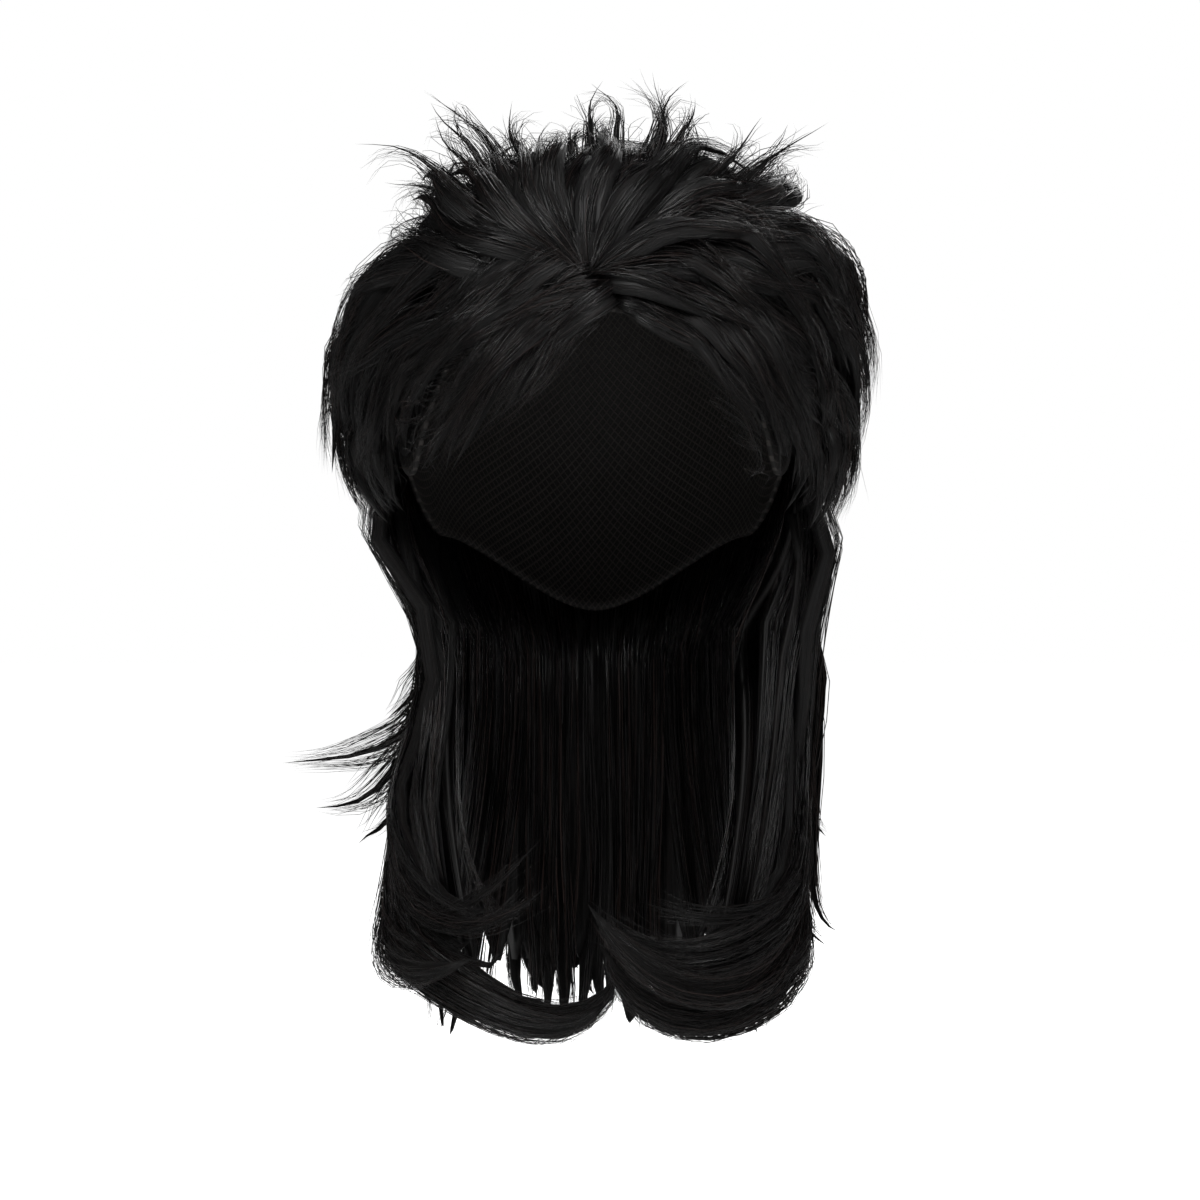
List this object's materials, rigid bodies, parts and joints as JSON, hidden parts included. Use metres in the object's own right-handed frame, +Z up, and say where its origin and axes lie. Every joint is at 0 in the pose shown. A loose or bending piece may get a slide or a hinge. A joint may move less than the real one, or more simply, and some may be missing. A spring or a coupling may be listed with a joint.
{
  "type": "mullet wig",
  "caption": "Mullet wig on a stretch cap: short layered crown, fringe parted to both temples, sides over the ears, and long hair down the neck with curled front ends.",
  "frame": {"origin": "inside of the cap's crown, where the top of the wearer's head rests", "axes": "+Z up, -Y the way the face looks, +X the wearer's left"},
  "size_m": [0.2272, 0.221, 0.3795],
  "materials": {
    "hair_fibre": "black synthetic fibre with a soft satin sheen",
    "cap_net": "matt black knitted net"
  },
  "bodies": {
    "root": {"wig_cap": "cap_net", "crown_hair": "hair_fibre", "fringe_right": "hair_fibre", "fringe_left": "hair_fibre", "side_right": "hair_fibre", "side_left": "hair_fibre", "back_hair": "hair_fibre", "tail_right": "hair_fibre", "tail_left": "hair_fibre", "tail_back": "hair_fibre"}
  },
  "joints": []
}
